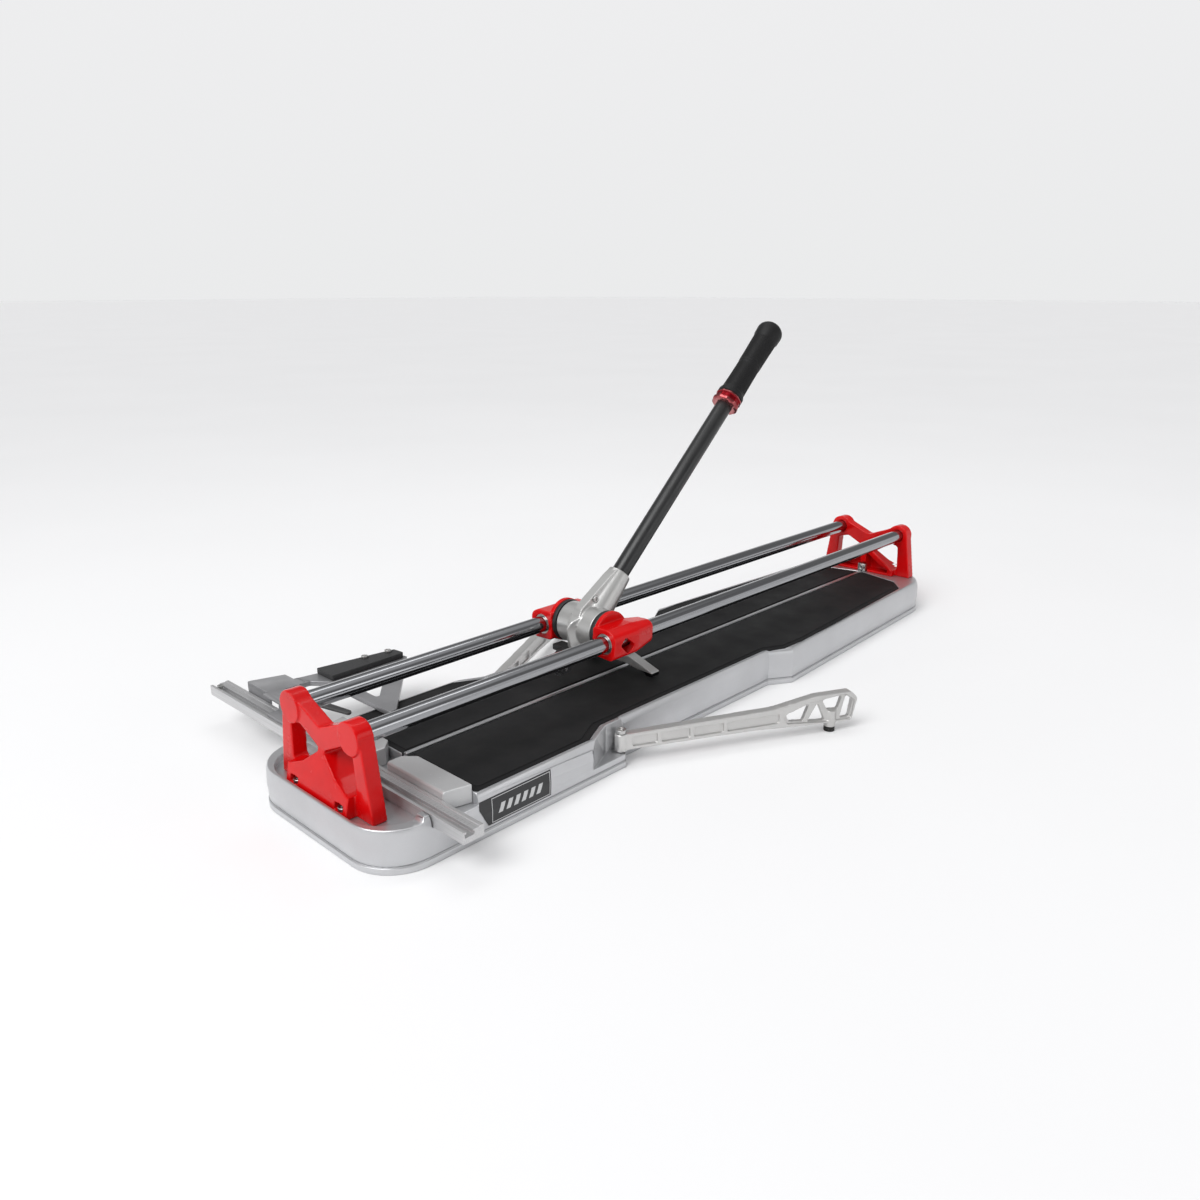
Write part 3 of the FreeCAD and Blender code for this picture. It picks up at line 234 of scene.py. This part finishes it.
def anodised(name, color, roughness):
    """Turned and anodised aluminium: metallic colour with turning lines."""
    finish = Finish(name, color, 0.9, roughness)
    finish.shade(finish.ramp(finish.noise(60, 3), 0.4, 0.7), 0.25)
    finish.rough(finish.noise(200, 2), 0.3, 0.7, 0.05)
    finish.bump(finish.noise(1600, 1), 0.03 * MM, 0.5)
    return finish.worn_edges((0.85, 0.45, 0.45), 0.5).material


def label_film():
    """Plain dark film, slightly mottled."""
    finish = Finish("label_black", (0.018, 0.018, 0.020), 0.0, 0.32)
    finish.shade(finish.ramp(finish.noise(40, 3), 0.4, 0.7), 0.3)
    finish.rough(finish.noise(80, 2), 0.3, 0.7, 0.04)
    return finish.bump(finish.noise(500, 2), 0.03 * MM, 0.4).material


MATERIALS = {
    "cast_grey": cast_metal("cast_grey", (0.58, 0.585, 0.60), 0.8, 0.33, 2200),
    "fence_grey": cast_metal("fence_grey", (0.56, 0.565, 0.57), 0.55, 0.40, 1500, pits_and_glints=0.6),
    "cast_bright": cast_metal("cast_bright", (0.60, 0.595, 0.585), 0.75, 0.34, 1500),
    # The hub finish is painted near black below 58 mm: painted shade.
    "hub_grey": cast_metal("hub_grey", (0.57, 0.57, 0.56), 0.75, 0.36, 1100, painted_shade_below=58 * MM),
    "pad_rubber": rubber("pad_rubber", (0.0085, 0.0085, 0.009), 0.7, 1400),
    "strip_steel": brushed_metal("strip_steel", (0.62, 0.63, 0.64), 0.34, "X"),
    "red_paint": gloss_paint("red_paint", (0.62, 0.002, 0.003), 0.24),
    "rail_chrome": brushed_metal("rail_chrome", (0.36, 0.365, 0.38), 0.12, "X", streak=500),
    "screw_zinc": brushed_metal("screw_zinc", (0.58, 0.58, 0.57), 0.3, "Z"),
    "bearing_ring": brushed_metal("bearing_ring", (0.66, 0.60, 0.58), 0.3, "X"),
    "shaft_steel": brushed_metal("shaft_steel", (0.45, 0.45, 0.46), 0.28, "Y"),
    "black_nylon": satin_paint("black_nylon", (0.010, 0.010, 0.011), 0.45),
    "tube_black": satin_paint("tube_black", (0.007, 0.0075, 0.008), 0.36),
    "collar_red": anodised("collar_red", (0.26, 0.004, 0.010), 0.24),
    "grip_rubber": rubber("grip_rubber", (0.010, 0.010, 0.0105), 0.5, 900),
    "bar_aluminium": brushed_metal("bar_aluminium", (0.60, 0.60, 0.605), 0.36, "Y", metallic=0.7),
    "stop_grey": satin_paint("stop_grey", (0.30, 0.30, 0.31), 0.36, metallic=0.5),
    "stop_rubber": rubber("stop_rubber", (0.040, 0.040, 0.041), 0.6, 900),
    "lever_grey": satin_paint("lever_grey", (0.035, 0.035, 0.036), 0.38),
    "foot_rubber": rubber("foot_rubber", (0.018, 0.018, 0.018), 0.6, 1200),
    "label_black": label_film(),
}
NODE_SLOT = {part["node"]: part["material_slot"] for part in frame["record"]["subparts"]}
NODE_BODY = {node: body for body, nodes in frame["record"]["behaviour"]["bodies"].items() for node in nodes}


# --------------------------------------------------------------------------------------
# Piece helpers
# --------------------------------------------------------------------------------------
def add_piece(name, mesh, slot, body, *replaced, smooth_angle=35):
    """Puts a finished mesh in the scene with its material, on its body."""
    mesh.materials.clear()
    mesh.materials.append(MATERIALS[slot])
    piece = bpy.data.objects.new(name, mesh)
    scene.collection.objects.link(piece)
    mesh.shade_smooth()
    mesh.set_sharp_from_angle(angle=math.radians(smooth_angle))
    flatten_plane_faces(mesh)
    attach(piece, body)
    if replaced:
        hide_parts(*replaced)
    return piece


def flatten_plane_faces(mesh):
    """Shades truly flat faces flat, so that their light isn't bent by the eased edges round them."""
    shape = bmesh.new()
    shape.from_mesh(mesh)
    for face in shape.faces:
        turns = [edge.calc_face_angle(0) for edge in face.edges]
        if face.calc_area() > FLAT_AREA and all(turn < SOFT_TURN or turn > HARD_TURN for turn in turns):
            face.smooth = False
    shape.to_mesh(mesh)
    shape.free()


def applied(mesh, name, modifiers):
    """Mesh with a list of (type, settings) modifiers applied."""
    temporary = bpy.data.objects.new(name + "_work", mesh)
    scene.collection.objects.link(temporary)
    for kind, settings in modifiers:
        modifier = temporary.modifiers.new(kind, kind)
        for key, value in settings.items():
            setattr(modifier, key, value)
    bpy.context.view_layer.update()
    result = bpy.data.meshes.new_from_object(temporary.evaluated_get(bpy.context.evaluated_depsgraph_get()))
    bpy.data.objects.remove(temporary)
    result.name = name
    return result


def cad_copy(node):
    """Copy of a CAD node's mesh, welded, with its flat faces joined unless they are rings round an opening."""
    mesh = frame["nodes"][node].data.copy()
    shape = bmesh.new()
    shape.from_mesh(mesh)
    bmesh.ops.remove_doubles(shape, verts=shape.verts, dist=WELD)
    if node not in RING_FACED:
        bmesh.ops.dissolve_limit(shape, angle_limit=JOIN_ANGLE, verts=shape.verts, edges=shape.edges)
    shape.to_mesh(mesh)
    shape.free()
    return mesh


def eased(node, width, segments=2):
    """CAD shape with every sharp edge eased by width."""
    mesh = applied(cad_copy(node), node + "_eased", [
        ("BEVEL", {"width": width, "segments": segments, "limit_method": "ANGLE", "angle_limit": EASE_ANGLE,
                   "use_clamp_overlap": False, "harden_normals": False, "miter_outer": "MITER_ARC"}),
    ])
    return add_piece(node + "_eased", mesh, NODE_SLOT[node], NODE_BODY[node], node, smooth_angle=40)


def cast(node, voxel, rounds):
    """CAD shape remeshed and smoothed, so that inside and outside corners blend as on a casting."""
    mesh = applied(cad_copy(node), node + "_cast", [
        ("REMESH", {"mode": "VOXEL", "voxel_size": voxel}),
        ("SMOOTH", {"factor": CAST_SMOOTHING, "iterations": rounds}),
        ("DECIMATE", {"ratio": CAST_KEEP}),
    ])
    return add_piece(node + "_cast", mesh, NODE_SLOT[node], NODE_BODY[node], node, smooth_angle=60)


def lathe(name, profile, slot, body, place, *replaced, steps=96, ripple=None):
    """Turns a closed (radius, height) outline about place's own Z. ripple(angle, radius) adjusts a radius."""
    shape = bmesh.new()
    rings = []
    for step in range(steps):
        angle = 2 * math.pi * step / steps
        ring = []
        for radius, height in profile:
            reach = ripple(angle, radius) if ripple else radius
            ring.append(shape.verts.new((reach * math.cos(angle), reach * math.sin(angle), height)))
        rings.append(ring)
    for step, ring in enumerate(rings):
        after = rings[(step + 1) % steps]
        for index in range(len(profile)):
            following = (index + 1) % len(profile)
            if profile[index][0] == 0 and profile[following][0] == 0:
                continue
            shape.faces.new((ring[index], after[index], after[following], ring[following]))
    bmesh.ops.remove_doubles(shape, verts=shape.verts, dist=WELD / 10)
    bmesh.ops.recalc_face_normals(shape, faces=shape.faces)
    mesh = bpy.data.meshes.new(name)
    shape.to_mesh(mesh)
    shape.free()
    mesh.transform(place)
    return add_piece(name, mesh, slot, body, *replaced)


def joint(name):
    """A joint of the frame by name."""
    return next(item for item in frame["joints"] if item["name"] == name)


# --------------------------------------------------------------------------------------
# Handle: places come from the tilt joint and the tube's own box
# --------------------------------------------------------------------------------------
pivot = Vector(joint("handle_tilt")["pos_m"])
handle_angle = math.radians(42.8)
handle_axis = Vector((math.cos(handle_angle), 0, math.sin(handle_angle)))
handle_place = Matrix.Translation(pivot) @ handle_axis.to_track_quat("Z", "Y").to_matrix().to_4x4()

COLLAR_START, COLLAR_LENGTH, COLLAR_RADIUS = 352 * MM, 15 * MM, 18.5 * MM
GRIP_START, GRIP_END, GRIP_RADIUS = 367.2 * MM, 497 * MM, 16.5 * MM
TUBE_RADIUS, TUBE_END = 11 * MM, 470.4 * MM


def build_grip():
    """Rubber grip: bore, flange, fine ribs, a plain band in the middle and a domed end."""
    bore, flange = TUBE_RADIUS + 0.1 * MM, GRIP_RADIUS + 1.3 * MM
    rib_low, rib_high = GRIP_START + 11 * MM, GRIP_END - 30 * MM
    band, half_band = (rib_low + rib_high) / 2, 3 * MM
    rib_depth, hollow, step_up = 0.16 * MM, 0.7 * MM, 0.5 * MM
    profile = [(bore, GRIP_START), (GRIP_RADIUS + 0.6 * MM, GRIP_START),
               (flange, GRIP_START + 0.8 * MM), (flange, GRIP_START + 5 * MM),
               (GRIP_RADIUS + 0.5 * MM, GRIP_START + 7 * MM), (GRIP_RADIUS - 0.8 * MM, GRIP_START + 8.5 * MM)]
    ribs = 150
    for step in range(ribs + 1):
        share = step / ribs
        height = rib_low + (rib_high - rib_low) * share
        waist = GRIP_RADIUS - 0.9 * MM - hollow * math.sin(math.pi * share)
        lift = step_up if height > band else 0.0
        plain = abs(height - band) < half_band
        wave = 0.0 if plain else rib_depth * math.cos(math.pi * step)
        profile.append((waist + lift + wave, height))
    profile += [(GRIP_RADIUS - 0.2 * MM, GRIP_END - 27 * MM), (GRIP_RADIUS + 0.9 * MM, GRIP_END - 24 * MM)]
    dome, dome_height, dome_steps = flange, 14 * MM, 12
    for step in range(dome_steps + 1):
        turn = math.pi / 2 * step / dome_steps
        drop = dome_height * (1 - math.sin(turn))
        profile.append((max(dome * math.cos(turn), 0.0), GRIP_END - 0.2 * MM - drop))
    profile += [(0.0, TUBE_END), (bore, TUBE_END)]
    lathe("grip_ribbed", profile, "grip_rubber", "handle", handle_place, "grip")


def build_collar():
    """Scalloped clamp collar under the grip."""
    low, high, radius = COLLAR_START, COLLAR_START + COLLAR_LENGTH, COLLAR_RADIUS
    bore = TUBE_RADIUS + 0.05 * MM
    ease, scallop_depth = 1.2 * MM, 0.7 * MM
    waist = radius - 1.4 * MM
    profile = [(bore, low), (radius - ease * 2.2, low), (radius - ease * 0.4, low + ease),
               (radius, low + ease * 1.8), (radius, low + 5 * MM), (waist, low + 6 * MM), (waist, high - 4 * MM),
               (radius - 0.3 * MM, high - 3 * MM), (radius - 0.3 * MM, high - ease),
               (radius - ease, high), (bore, high)]

    def scallop(angle, reach):
        """Ten shallow hollows round the outside. The bore stays round."""
        if reach < radius - 2 * MM:
            return reach
        return reach - scallop_depth * (0.5 + 0.5 * math.cos(10 * angle))

    lathe("collar_scalloped", profile, "collar_red", "handle", handle_place, "handle_collar", steps=200,
          ripple=scallop)


def build_rails():
    """Ground guide rails with a small end chamfer."""
    for node in ("rail_right", "rail_left"):
        low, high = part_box(node)
        radius = (high.z - low.z) / 2
        length = high.x - low.x
        start = Vector((low.x, (low.y + high.y) / 2, (low.z + high.z) / 2))
        place = Matrix.Translation(start) @ Vector((1, 0, 0)).to_track_quat("Z", "Y").to_matrix().to_4x4()
        chamfer = 0.8 * MM
        profile = [(0.0, 0.0), (radius - chamfer, 0.0), (radius, chamfer)]
        profile += [(radius, length * share) for share in (0.02, 0.25, 0.5, 0.75, 0.98)]
        profile += [(radius, length - chamfer), (radius - chamfer, length), (0.0, length)]
        lathe(node + "_ground", profile, "rail_chrome", "base", place, node, steps=128)


# --------------------------------------------------------------------------------------
# Ruler bar: short tick marks, every second and every tenth one longer
# --------------------------------------------------------------------------------------
def build_scale():
    """Raised ink marks, one every 5 mm, along the ledge of the bar."""
    low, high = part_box("ruler_bar")
    ledge_drop, groove_width, end_gap = 0.8 * MM, 12.2 * MM, 10 * MM
    ledge_top = high.z - ledge_drop
    edge = low.x + groove_width
    shape = bmesh.new()
    start, spacing, width, height = low.y + end_gap, 5 * MM, 0.4 * MM, 0.06 * MM
    long_tick, tick, short_tick = 5.5, 4.0, 2.6
    count = int((high.y - end_gap - start) / spacing)
    for index in range(count + 1):
        length = (long_tick if index % 10 == 0 else tick if index % 2 == 0 else short_tick) * MM
        y = start + index * spacing
        corners = [(edge, y), (edge + length, y), (edge + length, y + width), (edge, y + width)]
        bottom = [shape.verts.new((cx, cy, ledge_top)) for cx, cy in corners]
        top = [shape.verts.new((cx, cy, ledge_top + height)) for cx, cy in corners]
        shape.faces.new(bottom[::-1])
        shape.faces.new(top)
        for side in range(4):
            after = (side + 1) % 4
            shape.faces.new((bottom[side], bottom[after], top[after], top[side]))
    mesh = bpy.data.meshes.new("ruler_scale")
    shape.to_mesh(mesh)
    shape.free()
    add_piece("ruler_scale", mesh, "stop_grey", "base")


def build_label_print():
    """Pale border and a plain row of slanted blocks on the blank label; it follows the label's two facets."""
    low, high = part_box("label_plate")
    fold, foot_shift, head_shift = 27 * MM, 0.7 * MM, 0.9 * MM
    proud, sunk = 0.07 * MM, 0.2 * MM
    outer = low.y
    shape = bmesh.new()

    def skin(z):
        """Y of the label's face at a height."""
        if z < fold:
            return outer + foot_shift * (fold - z) / (fold - low.z)
        return outer + head_shift * (z - fold) / (high.z - fold)

    def slab(x_low, x_high, z_low, z_high, slant=0.0):
        """Thin closed bar on the face, from one corner to the other, leaning by slant."""
        rows = [z for z in (z_low, fold, z_high) if z_low <= z <= z_high]
        rings = []
        for z in rows:
            shift = slant * (z - z_low)
            spots = [(x_low + shift, -proud), (x_high + shift, -proud),
                     (x_high + shift, sunk), (x_low + shift, sunk)]
            rings.append([shape.verts.new((x, skin(z) + off, z)) for x, off in spots])
        for ring, after in zip(rings, rings[1:]):
            for index in range(4):
                following = (index + 1) % 4
                shape.faces.new((ring[index], ring[following], after[following], after[index]))
        shape.faces.new(rings[0][::-1])
        shape.faces.new(rings[-1])

    edge, line, bar_cover = 1.4 * MM, 0.7 * MM, 15 * MM
    left, right, bottom, top = low.x + bar_cover, high.x - edge, low.z + edge, high.z - edge
    slab(left, right, bottom, bottom + line)
    slab(left, right, top - line, top)
    slab(right - line, right, bottom + line, top - line)
    slab(left, left + line, bottom + line, top - line)
    blocks, block_start, block_pitch, block_width = 6, 8, 10, 5.5 * MM
    for step in range(blocks):
        near = left + (block_start + step * block_pitch) * MM
        slab(near, near + block_width, low.z + 9 * MM, low.z + 19 * MM, slant=0.4)
    bmesh.ops.recalc_face_normals(shape, faces=shape.faces)
    mesh = bpy.data.meshes.new("label_print")
    shape.to_mesh(mesh)
    shape.free()
    add_piece("label_print", mesh, "bar_aluminium", "base")


# --------------------------------------------------------------------------------------
# Studio: pale floor, soft lights and the camera
# --------------------------------------------------------------------------------------
FLOOR_HALF_SIZE = 40
SKY_BELOW, SKY_ABOVE = (0.92, 0.925, 0.93, 1), (0.85, 0.85, 0.86, 1)
SKY_BANDS = ((0.26, 0.95), (0.36, 0.30), (0.62, 0.26), (0.78, 0.70))     # (height from 0 to 1, grey level)
SKY_STRENGTH = 0.9
LIT_SPOT = Vector((-0.05, 0.0, 0.08))
SUN_PLACE, SUN_STRENGTH, SUN_SPREAD = (-1.6, -0.15, 2.0), 1.6, math.radians(40)
SOFT_BOXES = (                                                          # (name, place, size, watts)
    ("key", (-1.9, 0.1, 1.5), (1.2, 0.8), 7),
    ("fill", (0.3, -2.2, 0.8), (1.4, 0.6), 3),
    ("top", (0.1, 0.6, 2.3), (2.4, 0.4), 6),
)


def build_studio():
    """Pale floor, soft daylight, a key from the near end, a fill from the right and a strip over the rails."""
    shape = bmesh.new()
    bmesh.ops.create_grid(shape, x_segments=8, y_segments=8, size=FLOOR_HALF_SIZE)
    mesh = bpy.data.meshes.new("floor")
    shape.to_mesh(mesh)
    shape.free()
    floor = bpy.data.objects.new("floor", mesh)
    scene.collection.objects.link(floor)
    paper = Finish("floor_paper", (0.90, 0.90, 0.905), 0.0, 0.7)
    paper.shade(paper.ramp(paper.noise(1.5, 2), 0.3, 0.8), 0.02)
    mesh.materials.append(paper.material)

    world = bpy.data.worlds.new("studio")
    scene.world = world
    scene.view_settings.view_transform = "Standard"
    world.use_nodes = True
    tree = world.node_tree
    coordinate = tree.nodes.new("ShaderNodeTexCoord")
    split = tree.nodes.new("ShaderNodeSeparateXYZ")
    tree.links.new(coordinate.outputs["Generated"], split.inputs["Vector"])
    ramp = tree.nodes.new("ShaderNodeValToRGB")
    stops = ramp.color_ramp.elements
    stops[0].position, stops[0].color = 0.0, SKY_BELOW
    stops[1].position, stops[1].color = 1.0, SKY_ABOVE
    for height, level in SKY_BANDS:
        stop = stops.new(height)
        stop.color = (level, level, level * 1.01, 1)
    tree.links.new(split.outputs["Z"], ramp.inputs["Fac"])
    tree.links.new(ramp.outputs["Color"], tree.nodes["Background"].inputs["Color"])
    tree.nodes["Background"].inputs["Strength"].default_value = SKY_STRENGTH

    def aim(light, place):
        """Puts a light in the scene, pointing at the cutter."""
        light.location = place
        light.rotation_euler = (LIT_SPOT - Vector(place)).to_track_quat("-Z", "Y").to_euler()
        scene.collection.objects.link(light)

    sun = bpy.data.lights.new("daylight", "SUN")
    sun.energy = SUN_STRENGTH
    sun.angle = SUN_SPREAD
    aim(bpy.data.objects.new("daylight", sun), SUN_PLACE)
    for name, place, (width, height), watts in SOFT_BOXES:
        data = bpy.data.lights.new(name, "AREA")
        data.shape = "RECTANGLE"
        data.size, data.size_y = width, height
        data.energy = watts
        aim(bpy.data.objects.new(name, data), place)


CAMERA_PLACE = (-0.96142, -0.77051, 0.51002)
CAMERA_YAW, CAMERA_PITCH, CAMERA_ROLL = 43.566, 17.898, 0.021           # degrees; pitch is downwards
CAMERA_SENSOR, CAMERA_LENS = 36, 29.085


def build_camera():
    """Camera at the three-quarter view from the near right, a little above the rails."""
    yaw, pitch, roll = math.radians(CAMERA_YAW), math.radians(CAMERA_PITCH), math.radians(CAMERA_ROLL)
    forward = Vector((math.cos(pitch) * math.cos(yaw), math.cos(pitch) * math.sin(yaw), -math.sin(pitch)))
    right = Vector((math.sin(yaw), -math.cos(yaw), 0))
    up = right.cross(forward)
    turn = Matrix((right, up, -forward)).transposed() @ Matrix.Rotation(roll, 3, "Z")
    data = bpy.data.cameras.new("camera")
    data.sensor_width = CAMERA_SENSOR
    data.lens = CAMERA_LENS
    data.clip_start, data.clip_end = 0.02, 50
    camera = bpy.data.objects.new("camera", data)
    camera.matrix_world = Matrix.Translation(CAMERA_PLACE) @ turn.to_4x4()
    scene.collection.objects.link(camera)
    scene.camera = camera


# Castings that are remeshed and smoothed: (voxel, rounds of smoothing)
CAST = {
    "near_support": (0.9 * MM, 4), "far_support": (0.9 * MM, 4), "slider_right": (0.7 * MM, 4),
    "slider_left": (0.7 * MM, 4), "hub": (0.7 * MM, 4), "breaker_foot": (0.6 * MM, 3),
    "side_arm_right": (0.8 * MM, 2), "side_arm_left": (0.8 * MM, 2),
}
# Pieces whose sharp edges are eased: width
EASED = {
    "base_casting": 0.9 * MM, "pad_right": 0.5 * MM, "pad_left": 0.5 * MM, "breaking_strip": 0.3 * MM,
    "strip_anchor": 0.6 * MM, "wheel_holder": 0.6 * MM, "fence_right": 0.9 * MM, "fence_left": 0.9 * MM,
    "ruler_bar": 0.3 * MM, "stop_saddle": 0.4 * MM, "stop_square": 0.5 * MM, "stop_strip": 0.7 * MM,
    "locking_lever": 0.5 * MM, "side_disc_right": 0.5 * MM, "side_disc_left": 0.5 * MM, "handle_tube": 0.3 * MM,
    "arm_foot_right": 0.7 * MM, "arm_foot_left": 0.7 * MM, "arm_bolts": 0.4 * MM, "stop_pegs": 0.3 * MM,
    "bushings_right": 0.3 * MM, "bushings_left": 0.3 * MM, "lever_screw": 0.4 * MM, "support_screws": 0.4 * MM,
    "strip_anchor_screw": 0.4 * MM, "socket_screw": 0.4 * MM, "scoring_wheel": 0.15 * MM,
}

build_grip()
build_collar()
build_rails()
build_scale()
build_label_print()
for node, (voxel, rounds) in CAST.items():
    cast(node, voxel, rounds)
for node, width in EASED.items():
    eased(node, width)
for node, part in frame["nodes"].items():
    part.data.materials.clear()
    part.data.materials.append(MATERIALS[NODE_SLOT[node]])
build_studio()
build_camera()
